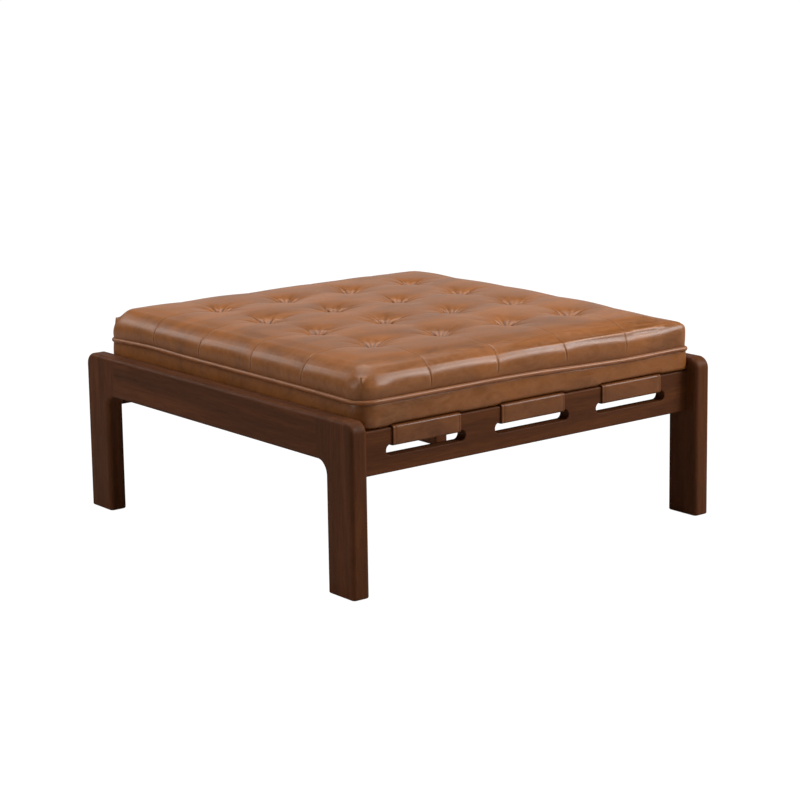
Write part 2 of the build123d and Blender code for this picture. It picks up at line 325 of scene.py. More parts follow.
QUARTER = math.pi / 2
cushion_leather = leather(
    "Caramel cushion leather", ((0.325, 0.101, 0.014), (0.112, 0.040, 0.011), (0.43, 0.175, 0.066)), 9.0, 0.0009, 0.14
)
strap_leather = leather(
    "Caramel strap leather", ((0.200, 0.062, 0.013), (0.088, 0.025, 0.006), (0.27, 0.098, 0.028)), 14.0, 0.0006, 0.05
)
welt_leather = leather(
    "Caramel welt leather", ((0.315, 0.103, 0.027), (0.130, 0.036, 0.009), (0.43, 0.175, 0.070)), 12.0, 0.0005, 0.08
)
walnut_up = walnut("Dark walnut, upright grain", (0, 0, 0))
walnut_deep = walnut("Dark walnut, grain along the sides", (QUARTER, 0, 0))
walnut_wide = walnut("Dark walnut, grain along the rails", (0, QUARTER, 0))
beech = speckled("Raw beech", (0.55, 0.38, 0.22), (0.46, 0.30, 0.16), 160.0, 0.6)
rivet_brass = speckled("Antiqued brass", (0.36, 0.25, 0.11), (0.20, 0.13, 0.06), 300.0, 0.35, metallic=1.0)
glide_black = speckled("Black glide nylon", (0.02, 0.02, 0.02), (0.035, 0.035, 0.035), 400.0, 0.5)
foam_cream = speckled("Cream foam", (0.80, 0.74, 0.52), (0.72, 0.64, 0.42), 500.0, 0.9, bump=0.6)
twine_tan = speckled("Waxed twine", (0.62, 0.52, 0.36), (0.5, 0.4, 0.26), 900.0, 0.7, bump=0.5)

for finish, names in (
    (walnut_up, ("front_left_leg", "front_right_leg", "back_left_leg", "back_right_leg")),
    (walnut_deep, ("left_side_rail", "right_side_rail")),
    (walnut_wide, ("front_cross_rail", "back_cross_rail")),
    (beech, ("cross_rail_dowels", "side_frame_dowels")),
    (rivet_brass, ("strap_rivets",)),
    (glide_black, ("foot_glides", "tuft_anchors")),
    (foam_cream, ("foam_core",)),
    (twine_tan, ("tuft_ties",)),
):
    for name in names:
        for material_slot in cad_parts[name].material_slots:
            material_slot.material = finish


# Mesh helpers

def mesh_object(name, points, faces, material, smooth=True):
    """A mesh piece from points in metres and index faces."""
    mesh = bpy.data.meshes.new(name)
    mesh.from_pydata([tuple(p) for p in points], [], faces)
    mesh.validate()
    mesh.polygons.foreach_set("use_smooth", [smooth] * len(mesh.polygons))
    made = bpy.data.objects.new(name, mesh)
    bpy.context.collection.objects.link(made)
    made.data.materials.append(material)
    return made


def set_mask(obj, name, values):
    """A number at each point, read by the leather for its painted shade, and for its paler ridges and painted
    highlights.
    """
    attribute = obj.data.attributes.new(name, "FLOAT", "POINT")
    attribute.data.foreach_set("value", np.asarray(values, dtype=np.float32))


def spaced(stops, step, gather):
    """Coordinates from stop to stop, about one step apart and closer together at each stop."""
    out = [stops[0]]
    for start, end in zip(stops, stops[1:]):
        count = max(2, round((end - start) / step))
        for index in range(1, count + 1):
            share = index / count
            share -= gather * math.sin(2 * math.pi * share) / (2 * math.pi)
            out.append(start + (end - start) * share)
    return out


def waves(x, y, seed, size):
    """A slow, smooth unevenness of about one unit, from a few crossed sine waves."""
    rng = np.random.default_rng(seed)
    total = np.zeros_like(x)
    for _ in range(7):
        angle = rng.uniform(0, 2 * math.pi)
        length = size * rng.uniform(0.6, 1.8)
        phase = rng.uniform(0, 2 * math.pi)
        total += np.sin((x * math.cos(angle) + y * math.sin(angle)) * 2 * math.pi / length + phase)
    return total / 3.2


def bell(distance, size):
    """1 at no distance, falling smoothly to 0 beyond the size."""
    return np.exp(-((distance / size) ** 2))


def smooth(share):
    """An even share from 0 to 1, eased at both ends."""
    return share**2 * (3 - 2 * share)


def points_and_normals(made):
    """The piece's points and vertex normals as arrays."""
    count = len(made.data.vertices)
    points = np.empty(count * 3)
    normals = np.empty(count * 3)
    made.data.vertices.foreach_get("co", points)
    made.data.vertex_normals.foreach_get("vector", normals)
    return points.reshape(-1, 3), normals.reshape(-1, 3)


def set_points(made, points):
    """Moves the piece's points to these places."""
    made.data.vertices.foreach_set("co", points.ravel())
    made.data.update()


def edge_ends(made):
    """The two points of each edge, and the number of edges that meet at each point."""
    ends = np.empty(len(made.data.edges) * 2, dtype=np.int32)
    made.data.edges.foreach_get("vertices", ends)
    first, second = ends.reshape(-1, 2).T
    count = len(made.data.vertices)
    meeting = np.bincount(first, minlength=count) + np.bincount(second, minlength=count)
    return first, second, np.maximum(meeting, 1)


def neighbour_mean(value, first, second, meeting):
    """The mean of a value over the points beside each point."""
    total = np.bincount(first, weights=value[second], minlength=len(value))
    total += np.bincount(second, weights=value[first], minlength=len(value))
    return total / meeting


def tube_faces(rings, count, flipped):
    """Quads between rings of points, and a face over each end."""
    faces = []
    for ring in range(rings - 1):
        start = ring * count
        for index in range(count):
            after = (index + 1) % count
            quad = (start + index, start + after, start + count + after, start + count + index)
            faces.append((quad[0], quad[3], quad[2], quad[1]) if flipped else quad)
    first = range(count)
    last = range((rings - 1) * count, rings * count)
    ends = (first, reversed(last)) if flipped else (last, reversed(first))
    return faces + [tuple(end) for end in ends]


# Cushion cover

def height_share(z):
    """0 at the welt, 1 at the cover's edge level and above it."""
    return np.clip((z - WELT_LEVEL) / (EDGE_LEVEL - WELT_LEVEL), 0, 1)


def edge_distance(x, y):
    """How far a place lies inside the nearest side of the cushion."""
    return np.minimum(HALF_X - np.abs(x), HALF_Y - np.abs(y))


def from_nearest_corner(x, y):
    """How far a place is from the cushion's nearest corner."""
    return np.hypot(HALF_X - np.abs(x), HALF_Y - np.abs(y))


def from_corner(x, y, corner):
    """How far a place is from one corner of the cushion."""
    return np.hypot(x - corner[0] * HALF_X, y - corner[1] * HALF_Y)


def box_skin(xs, ys, zs):
    """Points and faces of an open box: a top grid and four sides going down, sharing edges."""
    columns = len(xs)
    rows = len(ys)
    points = [(x, y, zs[0]) for y in ys for x in xs]
    faces = []
    for row in range(rows - 1):
        for column in range(columns - 1):
            corner = row * columns + column
            faces.append((corner, corner + 1, corner + columns + 1, corner + columns))
    rim = list(range(columns))
    rim += [row * columns + columns - 1 for row in range(1, rows)]
    rim += [(rows - 1) * columns + column for column in range(columns - 2, -1, -1)]
    rim += [row * columns for row in range(rows - 2, 0, -1)]
    above = rim
    count = len(rim)
    for z in zs[1:]:
        below = list(range(len(points), len(points) + count))
        points += [(points[index][0], points[index][1], z) for index in rim]
        for index in range(count):
            after = (index + 1) % count
            faces.append((above[index], below[index], below[after], above[after]))
        above = below
    return np.array(points), faces


def rounded(points):
    """The box's points moved on to a box with a rolled top edge and corners that tighten downwards."""
    least_tightness = 0.3
    height = height_share(points[:, 2])
    lower = np.full(len(points), CORNER_RADIUS)
    for corner, corner_radius in ODD_CORNERS.items():
        near = bell(from_corner(points[:, 0], points[:, 1], corner), 60 * MM)
        lower = lower + (corner_radius - CORNER_RADIUS) * near
    tight = np.clip(lower / CORNER_RADIUS, least_tightness, 1)
    fall = EDGE_FALL * tight
    radius = lower + (EDGE_ROUND * tight - lower) * smooth(height)
    inner = points.copy()
    inner[:, 0] = np.clip(points[:, 0], -HALF_X + radius, HALF_X - radius)
    inner[:, 1] = np.clip(points[:, 1], -HALF_Y + radius, HALF_Y - radius)
    inner[:, 2] = np.minimum(points[:, 2], EDGE_LEVEL - fall)
    away = points - inner
    length = np.linalg.norm(away / np.stack([radius, radius, fall], axis=1), axis=1)
    length[length == 0] = 1
    return inner + away / length[:, None]


def crown_rise(x, y):
    """How far the crowned top stands above its edge, before the tufts; it sags to the right front."""
    blend = 0.03
    inset = -np.log(np.exp(-(HALF_X - np.abs(x)) / blend) + np.exp(-(HALF_Y - np.abs(y)) / blend)) * blend
    inset = np.maximum(inset, 0)
    dome = 0.5 - 0.5 * np.cos(math.pi * np.clip(inset / HALF_X, 0, 1))
    shoulder = 1 - np.exp(-inset / CROWN_REACH)
    sag = 1 - 0.55 * np.clip(0.4 + (x - y) / 1.1, 0, 1)
    return (CROWN_LEVEL - EDGE_LEVEL) * sag * (DOME_SHARE * dome + (1 - DOME_SHARE) * shoulder)


def tuft_funnels(x, y):
    """How far the sixteen tufts pull the top down at each point."""
    rng = np.random.default_rng(11)
    pull = np.zeros_like(x)
    for tuft_x, tuft_y in tufts:
        depth = EDGE_LEVEL + crown_rise(np.float64(tuft_x), np.float64(tuft_y)) - TUFT_FLOOR
        depth *= rng.uniform(0.94, 1.04)
        reach = TUFT_REACH * rng.uniform(0.94, 1.08)
        out = np.clip((np.hypot(x - tuft_x, y - tuft_y) - TUFT_FLOOR_RADIUS) / reach, 0, 1)
        pull += depth * (1 - out) ** 2.0
    return pull


def tuft_puckers(x, y):
    """Fine radial pleats in the wall of each tuft: round ridges with sharp creases between."""
    rng = np.random.default_rng(12)
    total = np.zeros_like(x)
    for tuft_x, tuft_y in tufts:
        dx = x - tuft_x
        dy = y - tuft_y
        near = np.nonzero(np.hypot(dx, dy) < 60 * MM)[0]
        r = np.hypot(dx[near], dy[near])
        angle = np.arctan2(dy[near], dx[near]) + rng.uniform(-5, 5) * r
        change = np.zeros_like(r)
        for count, size, peak in ((rng.integers(5, 8), 1.9, 20 * MM), (rng.integers(12, 16), 1.5, 13 * MM)):
            wobble = 0.35 * np.sin(2 * angle + rng.uniform(0, 6)) + 0.25 * np.sin(3 * angle + rng.uniform(0, 6))
            wave = np.abs(np.sin(angle * count / 2 + wobble + rng.uniform(0, 6))) ** 0.6 - 0.72
            fade = (r / peak) ** 1.5 * np.exp(1.5 * (1 - r / peak))
            change += size * rng.uniform(0.8, 1.2) * MM * wave * fade
        total[near] += change
    return total


def crease_lines(x, y):
    """Depth of the narrow folds along the tuft rows, deepest beside a tuft."""
    depth = np.zeros_like(x)
    for across, along, lines, stops, end in ((x, y, tuft_xs, tuft_ys, HALF_Y), (y, x, tuft_ys, tuft_xs, HALF_X)):
        nearest = np.min([np.abs(along - stop) for stop in stops], axis=0)
        near = bell(nearest, 27 * MM)
        outer = np.clip((np.abs(along) - abs(stops[0])) / (end - abs(stops[0])), 0, 1)
        for number, line in enumerate(lines):
            wander = 2.4 * MM * np.sin(along * 31 + number * 2.1) + 1.1 * MM * np.sin(along * 77 + number)
            wander *= 1 - np.exp(-nearest / (25 * MM))
            distance = np.abs(across - line - wander)
            faint = 0.55 + 0.45 * np.sin(along * 17 + number * 1.7)
            deep = 0.35 * MM * faint * (1 - outer) + 0.9 * MM * outer + 5.0 * MM * near
            depth += deep * np.exp(-distance / (1.4 * MM + 1.3 * MM * near))
    return depth


def add_group(made, name, weights, digits):
    """A vertex group with a weight at each point, rounded to this many digits."""
    group = made.vertex_groups.new(name=name)
    weights = np.round(weights, digits)
    for weight in np.unique(weights):
        group.add([int(index) for index in np.nonzero(weights == weight)[0]], float(weight), "REPLACE")


def settled(made, held, loose, share):
    """Settles the cover by a short cloth simulation; each point takes its share of the move."""
    start = points_and_normals(made)[0]
    made.data.vertices.foreach_set("co", (start * SIM_SCALE).ravel())
    add_group(made, "held", held, 2)
    add_group(made, "loose", loose, 1)
    cloth = made.modifiers.new("Cloth", "CLOTH")
    settings = cloth.settings
    settings.quality = 5
    settings.mass = 0.12
    settings.tension_stiffness = 25
    settings.compression_stiffness = 14
    settings.shear_stiffness = 8
    settings.bending_stiffness = 1.2
    settings.air_damping = 2
    settings.use_pressure = True
    settings.uniform_pressure_force = COVER_PRESSURE
    settings.vertex_group_shrink = "loose"
    settings.shrink_min = 0
    settings.shrink_max = -COVER_SPREAD
    settings.vertex_group_mass = "held"
    settings.effector_weights.gravity = 0
    cloth.collision_settings.use_collision = False
    cloth.point_cache.frame_start = 1
    cloth.point_cache.frame_end = SIM_FRAMES
    for number in range(1, SIM_FRAMES + 1):
        bpy.context.scene.frame_set(number)
    shown = made.evaluated_get(bpy.context.evaluated_depsgraph_get())
    end = np.empty(len(start) * 3)
    shown.data.vertices.foreach_get("co", end)
    moved = end.reshape(-1, 3) / SIM_SCALE - start
    length = np.maximum(np.linalg.norm(moved, axis=1), 1e-9)
    moved *= (share * COVER_MOVE * np.tanh(length / COVER_MOVE) / length)[:, None]
    made.modifiers.remove(cloth)
    made.vertex_groups.clear()
    bpy.context.scene.frame_set(1)
    set_points(made, start + moved)


def subdivided(made):
    """Applies one level of smooth subdivision to the piece."""
    modifier = made.modifiers.new("Smooth", "SUBSURF")
    modifier.levels = 1
    modifier.render_levels = 1
    shown = made.evaluated_get(bpy.context.evaluated_depsgraph_get())
    finer = bpy.data.meshes.new_from_object(shown)
    made.modifiers.remove(modifier)
    made.data = finer
    finer.polygons.foreach_set("use_smooth", [True] * len(finer.polygons))


def valley_mask(made):
    """How hollow the surface is at each point: positive in a crease, negative on a ridge."""
    points, normals = points_and_normals(made)
    first, second, meeting = edge_ends(made)
    step = points[second] - points[first]
    square = (step**2).sum(axis=1)
    value = np.zeros(len(points))
    for here, sign in ((first, 1), (second, -1)):
        rise = (step * sign * normals[here]).sum(axis=1) / np.maximum(square, 1e-9)
        value += np.bincount(here, weights=rise, minlength=len(points))
    value /= meeting
    for _ in range(2):
        value = 0.5 * value + 0.5 * neighbour_mean(value, first, second, meeting)
    return value


def corners_eased(made):
    """Smooths the top of each upright corner, so that the two rolled edges run into each other."""
    points = points_and_normals(made)[0]
    first, second, meeting = edge_ends(made)
    upper = np.clip((height_share(points[:, 2]) - 0.45) / 0.3, 0, 1)
    weight = 0.9 * bell(from_nearest_corner(points[:, 0], points[:, 1]), 34 * MM) * upper
    weight[(points[:, 0] > 0) & (points[:, 1] < 0)] *= 0.08
    for _ in range(CORNER_PASSES):
        for axis in range(3):
            value = points[:, axis]
            points[:, axis] = value + weight * (neighbour_mean(value, first, second, meeting) - value)
    set_points(made, points)


def rest_on_foam(made, before, top_share):
    """Lifts the settled top where it sank below the foam's shape, with a soft blend."""
    points = points_and_normals(made)[0]
    blend = 2.5 * MM
    gap = np.clip((before - blend - points[:, 2]) / blend, -30, 30)
    points[:, 2] += top_share * blend * np.log1p(np.exp(gap))
    set_points(made, points)


def above_stuffing(x, y, z):
    """The heights, kept just above the twine's ends and, over the foam, above its flat top."""
    z = np.where(edge_distance(x, y) > 60 * MM, np.maximum(z, TUFT_FLOOR), z)
    over_foam = (np.abs(x) < foam_high[0] + 3 * MM) & (np.abs(y) < foam_high[1] + 3 * MM)
    over_foam &= z > WELT_LEVEL + 15 * MM
    lift = 1 * MM * np.log1p(np.exp(np.clip((foam_high[2] + 0.8 * MM - z) / (1 * MM), -30, 30)))
    return np.where(over_foam, z + lift, z)


def aside(upness):
    """How far a point faces sideways, from how far it faces up."""
    return np.sqrt(np.clip(1 - upness**2, 0, 1))


def cover_grid():
    """The flat box that the cover starts as, its grid gathered at the edges and the tufts."""
    insets = [0, EDGE_ROUND * 0.5, EDGE_ROUND, EDGE_ROUND * 1.6]
    grid = []
    for half, rows in ((HALF_X, tuft_xs), (HALF_Y, tuft_ys)):
        stops = [inset - half for inset in insets] + rows + [half - inset for inset in reversed(insets)]
        grid.append(spaced(stops, COVER_STEP, COVER_GATHER))
    return box_skin(*grid, list(np.linspace(EDGE_LEVEL, WELT_LEVEL, SKIRT_ROWS)))


def cover_form(flat):
    """The crowned, tufted form on the flat box; how far each point faces up; how near a corner it is."""
    points = rounded(flat)
    core = np.array([HALF_X - EDGE_ROUND, HALF_Y - EDGE_ROUND, EDGE_LEVEL - EDGE_FALL])
    normal = points - np.clip(points, [-core[0], -core[1], -1], core)
    normal[:, 2] *= (EDGE_ROUND / EDGE_FALL) ** 2
    normal /= np.maximum(np.linalg.norm(normal, axis=1), 1e-9)[:, None]
    x, y, z = points.T.copy()
    upness = np.clip(normal[:, 2], 0, 1)
    corner_share = np.exp(-from_nearest_corner(x, y) / (45 * MM))

    z += upness**2 * (crown_rise(x, y) - tuft_funnels(x, y) + waves(x, y, 3, 0.16) * 1.1 * MM)
    above = height_share(z)
    z += 1.6 * MM * above * np.exp(-(HALF_Y - y) / (90 * MM))
    for corner, drop, reach in CORNER_DROPS:
        z -= drop * above * np.exp(-((from_corner(x, y, corner) / reach) ** 1.3))
    z += welt_rise(x, y) * (1 - above)
    z = above_stuffing(x, y, z)

    height = height_share(z)
    bow = 5.0 * MM * np.sin(math.pi * height) - 2.0 * MM * (1 - height)
    push = bow * (1 - 0.5 * corner_share) + waves(x - y, z * 2.0, 9, 0.2) * 0.9 * MM
    push *= aside(upness)
    x += normal[:, 0] * push
    y += normal[:, 1] * push
    return np.stack([x, y, z], axis=1), upness, corner_share


def cover_settled(made, flat, points, upness, corner_share):
    """Lets the cover settle, held at the welt and the tufts and left as it is at the rolled edges."""
    x, y = flat[:, 0], flat[:, 1]
    side = aside(upness)
    held = np.maximum(0.6 * np.clip((side - 0.3) / 0.5, 0, 1), 0.5 * corner_share)
    held[points[:, 2] < WELT_LEVEL + 9 * MM] = 1
    for tuft_x, tuft_y in tufts:
        away = np.hypot(x - tuft_x, y - tuft_y)
        held = np.maximum(held, 0.30 * bell(away, 24 * MM))
        held[away < TUFT_FLOOR_RADIUS + 1 * MM] = 1
    share = smooth(np.clip((edge_distance(x, y) - 8 * MM) / (62 * MM), 0, 1))
    settled(made, held, np.clip(1.2 - side * 1.6, 0, 1), share)
    rest_on_foam(made, points[:, 2], upness**2)


def side_pleats(x, y, height, normal):
    """The pleats down the sides from the tuft rows, and how far the nearest row is."""
    row_shares = (-1, -1 / 3, 1 / 3, 1)
    faces_x = np.abs(normal[:, 0]) > np.abs(normal[:, 1])
    along = np.where(faces_x, y, x)
    row = np.where(faces_x, TUFT_SPAN_Y / 2, TUFT_SPAN_X / 2)
    pleat = np.zeros_like(x)
    for number, share in enumerate(row_shares):
        bend = 5.0 * MM * (1 - height) * math.sin(3.3 * number + 1)
        pleat += bell(along - row * share - bend, 1.4 * MM)
    beside = np.min([np.abs(along - row * share) for share in row_shares], axis=0)
    return pleat, beside


def corners_shaped(x, y, normal, side, height):
    """Presses in the corner seams, pinches the right front ear and swells the left front corner."""
    lean = np.abs(np.abs(normal[:, 0]) - np.abs(normal[:, 1]))
    lean /= np.maximum(np.hypot(normal[:, 0], normal[:, 1]), 1e-6)
    at_corner = np.exp(-((HALF_X - np.abs(x)).clip(0) + (HALF_Y - np.abs(y)).clip(0)) / (16 * MM)) * side
    seam = bell(lean, 0.12) * at_corner * np.clip((side - 0.6) / 0.35, 0, 1)
    ear = bell(height - 0.85, 0.25) * np.exp(-lean / 0.9) * at_corner
    ear *= np.where((x > 0) & (y < 0), 6.5, 0.4) * MM
    groove = 0.8 * MM * seam * np.clip((1.02 - height) / 0.4, 0, 1)
    swell = 2.6 * MM * bell(x + 0.350, 0.024) * bell(height - 0.40, 0.18) * (y < -0.3) * side
    return x + normal[:, 0] * (ear - groove), y - swell + normal[:, 1] * (ear - groove), seam


def cover_detailed(made):
    """Presses folds, pleats and seams into the settled cover, and marks them for the leather: painted shade in
    hollows, pleats, tuft centres and above the welt, darker seam lines, and paler ridges that are partly painted
    highlight.
    """
    points, normal = points_and_normals(made)
    crown = np.percentile(points[:, 2], 99.7)
    over = np.clip(points[:, 2] - EDGE_LEVEL, 0, None)
    points[:, 2] -= over * max(0, 1 - (CROWN_LEVEL - 1.5 * MM - EDGE_LEVEL) / (crown - EDGE_LEVEL))
    x, y, z = points.T.copy()
    height = height_share(z)
    upness = np.clip(normal[:, 2], 0, 1)
    side = aside(upness)
    on_top = np.clip(edge_distance(x, y) / (14 * MM), 0, 1)
    creases = crease_lines(x, y) * np.clip((z - EDGE_LEVEL + 22 * MM) / (16 * MM), 0, 1)
    pleat, beside = side_pleats(x, y, height, normal)
    pleat *= side * (1 - on_top) * np.clip((height - 0.12) / 0.25, 0, 1)
    roll = (2 * upness * side) ** 2 * (1 - np.exp(-beside / (24 * MM)))
    roll *= 1 - bell(from_nearest_corner(x, y), 70 * MM)
    inward = on_top * (creases * 0.9 - tuft_puckers(x, y)) + pleat * 1.1 * MM - 1.8 * MM * roll
    points = points - normal * inward[:, None]

    x, y, z = points.T.copy()
    x, y, seam = corners_shaped(x, y, normal, side, height)
    z = above_stuffing(x, y, z)
    x, y = poked_out(x, y)
    set_points(made, np.stack([x, y, z], axis=1))

    hollow = valley_mask(made)
    # Painted shade: darker in hollows, pleats, tuft centres and just above the welt. The corner seam lines are
    # darkened too.
    tuft_shade = np.max([np.exp(-np.hypot(x - tuft_x, y - tuft_y) / (7 * MM)) for tuft_x, tuft_y in tufts], axis=0)
    welt_shade = side * np.exp(-np.clip(z - WELT_LEVEL - welt_rise(x, y) - WELT_RADIUS, 0, None) / (2.5 * MM))
    painted_shade_and_seams = np.clip(hollow / 34, 0, 1) * 0.9 + pleat * 0.22 + seam * 0.5 + 0.8 * tuft_shade + 0.8 * welt_shade
    set_mask(made, "painted_shade_and_seams", np.clip(painted_shade_and_seams, 0, 1))
    # Paler on ridges: partly the pull-up leather's own paling where stretched, partly painted highlight.
    set_mask(made, "stretch_and_highlight", np.clip(-hollow / 40, 0, 1))


def cushion_top():
    """The tufted cover above the welt."""
    flat, faces = cover_grid()
    points, upness, corner_share = cover_form(flat)
    made = mesh_object("cushion_top_leather", points, faces, cushion_leather)
    cover_settled(made, flat, points, upness, corner_share)
    subdivided(made)
    corners_eased(made)
    cover_detailed(made)
    close_below(made)
    return made


def close_below(made):
    """Turns the cover's open lower rim in over the welt and closes it."""
    turned_in = 0.975
    shape = bmesh.new()
    shape.from_mesh(made.data)
    rim = [edge for edge in shape.edges if edge.is_boundary]
    turned = bmesh.ops.extrude_edge_only(shape, edges=rim)["geom"]
    for vertex in [part for part in turned if isinstance(part, bmesh.types.BMVert)]:
        vertex.co.x *= turned_in
        vertex.co.y *= turned_in
        vertex.co.z = WELT_LEVEL + 2 * MM
    bmesh.ops.holes_fill(shape, edges=[edge for edge in shape.edges if edge.is_boundary], sides=0)
    bmesh.ops.recalc_face_normals(shape, faces=shape.faces)
    for face in shape.faces:
        face.smooth = True
    shape.to_mesh(made.data)
    shape.free()


# Cushion band and piping

def poked_out(x, y):
    """The right front corner's places, a little further out."""
    push = 0.7 * 3.4 * MM * bell(from_corner(x, y, RIGHT_FRONT), 32 * MM)
    return x + push, y - push


def perimeter(half_x, half_y, step):
    """Places and outward normals round the cushion's rounded rectangle, anticlockwise."""
    arcs = []
    for turn, corner in enumerate(CORNERS):
        radius = ODD_CORNERS.get(corner, CORNER_RADIUS)
        centre_x = corner[0] * (half_x - radius)
        centre_y = corner[1] * (half_y - radius)
        count = max(6, round(radius * QUARTER / step))
        angles = [math.radians(90 * (turn - 1 + index / count)) for index in range(count + 1)]
        arcs.append([
            (centre_x + radius * math.cos(a), centre_y + radius * math.sin(a), math.cos(a), math.sin(a))
            for a in angles
        ])
    points = []
    for arc, next_arc in zip(arcs, arcs[1:] + arcs[:1]):
        points += arc
        end, goal = arc[-1], next_arc[0]
        steps = max(2, round(math.hypot(goal[0] - end[0], goal[1] - end[1]) / step))
        for index in range(1, steps):
            share = index / steps
            points.append((end[0] + (goal[0] - end[0]) * share, end[1] + (goal[1] - end[1]) * share, end[2], end[3]))
    path = np.array(points)
    path[:, 0], path[:, 1] = poked_out(path[:, 0], path[:, 1])
    return path


def welt_rise(x, y):
    """The welt's small rise and fall round the cushion."""
    sides = (
        (
            y + HALF_Y,
            x,
            (-0.391, -0.306, -0.078, 0.020, 0.090, 0.167, 0.244, 0.391),
            (-1.8, -2.0, -1.0, -2.6, -5.0, -7.5, -9.0, -7.0),
        ),
        (x + HALF_X, y, (-0.406, -0.377, -0.232, 0.120, 0.260, 0.406), (-1.8, -1.5, 0.8, 2.0, 4.0, -1.0)),
        (HALF_X - x, y, (-0.406, -0.150, 0.180, 0.406), (-7.0, 0.5, -2.0, 0.0)),
        (HALF_Y - y, x, (-0.391, -0.120, 0.200, 0.391), (-1.0, 1.8, -1.6, 0.0)),
    )
    total = np.zeros_like(x)
    weights = np.zeros_like(x)
    for away, along, places, rises in sides:
        weight = np.exp(-np.clip(away, 0, 0.3) / (12 * MM))
        near = [np.interp(along + shift, places, rises) for shift in (-0.03, -0.015, 0, 0.015, 0.03)]
        total += weight * np.mean(near, axis=0)
        weights += weight
    return total / np.maximum(weights, 1e-12) * MM


def over_straps(x):
    """1 above a strap, 0 beside it, with a short ramp between."""
    ramp_width = 8 * MM
    total = np.zeros_like(x)
    for low, high in strap_boxes:
        left = np.clip((x - low[0] + 6 * MM) / ramp_width, 0, 1)
        right = np.clip((high[0] + 6 * MM - x) / ramp_width, 0, 1)
        total = np.maximum(total, left * right)
    return total


def cushion_band():
    """The leather band below the welt, with its flat bottom."""
    turned_in = 0.97
    on_rails = rail_high[2] + 0.6 * MM
    on_straps = strap_boxes[0][1][2] + 0.3 * MM
    path = perimeter(HALF_X, HALF_Y, 5 * MM)
    x, y, normal_x, normal_y = path.T
    base = on_rails + over_straps(x) * (on_straps - on_rails)
    top = WELT_LEVEL + welt_rise(x, y)
    seam = np.exp(-np.abs(np.abs(normal_x) - np.abs(normal_y)) / 0.10)
    rows = []
    painted_shade_and_seams = []
    for share in [level / BAND_LEVELS for level in range(BAND_LEVELS + 1)]:
        z = base + (top - base) * share
        swell = math.sin(math.pi * share)
        tuck = 7 * MM * max(0.0, 1 - share / 0.16) ** 2 + 2.5 * MM * max(0.0, (share - 0.9) / 0.1) ** 2
        push = 2.2 * MM * swell - tuck - 1.8 * MM * seam + waves(x + y, z * 2, 21, 0.22) * 0.6 * MM * swell
        rows.append(np.stack([x + normal_x * push, y + normal_y * push, z], axis=1))
        # Painted shade: the whole band a little darker, more just under the welt and at the bottom. The corner seams
        # are darker too.
        shade = 0.12 + 0.7 * max(0.0, (share - 0.76) / 0.24) + 0.5 * max(0.0, 1 - share / 0.2)
        painted_shade_and_seams.append(0.55 * seam + shade)
    floor = rows[0] * (turned_in, turned_in, 0) + (0, 0, on_straps)
    lid = rows[-1] * (turned_in, turned_in, 0) + (0, 0, WELT_LEVEL - 2 * MM)
    rows = [floor] + rows + [lid]
    painted_shade_and_seams = [painted_shade_and_seams[0]] + painted_shade_and_seams + [painted_shade_and_seams[-1]]
    points = np.vstack(rows)
    faces = tube_faces(len(rows), len(path), flipped=False)
    made = mesh_object("cushion_band_leather", points, faces, cushion_leather)
    set_mask(made, "painted_shade_and_seams", np.clip(np.concatenate(painted_shade_and_seams), 0, 1))
    set_mask(made, "stretch_and_highlight", np.zeros(len(points)))
    return made


def cushion_welt():
    """The piping round the cushion, with the small step where its ends join."""
    path = perimeter(HALF_X - 0.5 * MM, HALF_Y - 0.5 * MM, 4 * MM)
    x, y, normal_x, normal_y = path.T
    z = WELT_LEVEL + welt_rise(x, y)
    joint = np.exp(-np.hypot(x - 0.028, y + HALF_Y) / (5 * MM))
    radius = WELT_RADIUS * (1 + 0.22 * joint + 0.04 * waves(x * 3, y * 3, 5, 0.2))
    turns = [2 * math.pi * side / WELT_SIDES for side in range(WELT_SIDES)]
    count = len(path)
    points = []
    faces = []
    for index in range(count):
        after = (index + 1) % count
        for side, angle in enumerate(turns):
            out = radius[index] * math.cos(angle)
            up = radius[index] * math.sin(angle)
            points.append((x[index] + normal_x[index] * out, y[index] + normal_y[index] * out, z[index] + up))
            beside = (side + 1) % WELT_SIDES
            quad = ((index, side), (after, side), (after, beside), (index, beside))
            faces.append(tuple(ring * WELT_SIDES + place for ring, place in quad))
    made = mesh_object("cushion_piping", points, faces, welt_leather)
    # Painted shade on the piping's inner and lower side, painted highlight along its top.
    set_mask(made, "painted_shade_and_seams", np.tile([0.25 if math.cos(angle) < 0.3 else 0.0 for angle in turns], count))
    set_mask(made, "stretch_and_highlight", np.tile([0.8 if math.sin(angle) > 0.4 else 0.0 for angle in turns], count))
    return made


# Straps

def strap_path():
    """The strap's middle line in the YZ plane, from one tail's end to the other's."""
    low, high = strap_boxes[0]
    half = STRAP_THICKNESS / 2
    top = high[2] - half
    bottom = low[2] + half
    outer = high[1] - half
    rail_thickness = rail_high[1] - rail_low[1]
    inner = outer - rail_thickness - 0.6 * MM - STRAP_THICKNESS
    bend = 3.5 * MM
    tail = inner - 70 * MM

    def arc(centre_y, centre_z, first, last):
        return [
            (centre_y + bend * math.cos(math.radians(a)), centre_z + bend * math.sin(math.radians(a)))
            for a in np.linspace(first, last, 7)
        ]

    under = top - STRAP_THICKNESS
    half_way = [(tail, under), (inner - bend - 20 * MM, under)]
    half_way += arc(inner - bend, under - bend, 90, 0)
    half_way += arc(inner + bend, bottom + bend, 180, 270)
    half_way += arc(outer - bend, bottom + bend, -90, 0)
    half_way += arc(outer - bend, top - bend, 0, 90)
    other = [(-y, z) for y, z in reversed(half_way)]
    span = [(y, top) for y in np.linspace(outer - 20 * MM, -outer + 20 * MM, 40)]
    return half_way + span + other


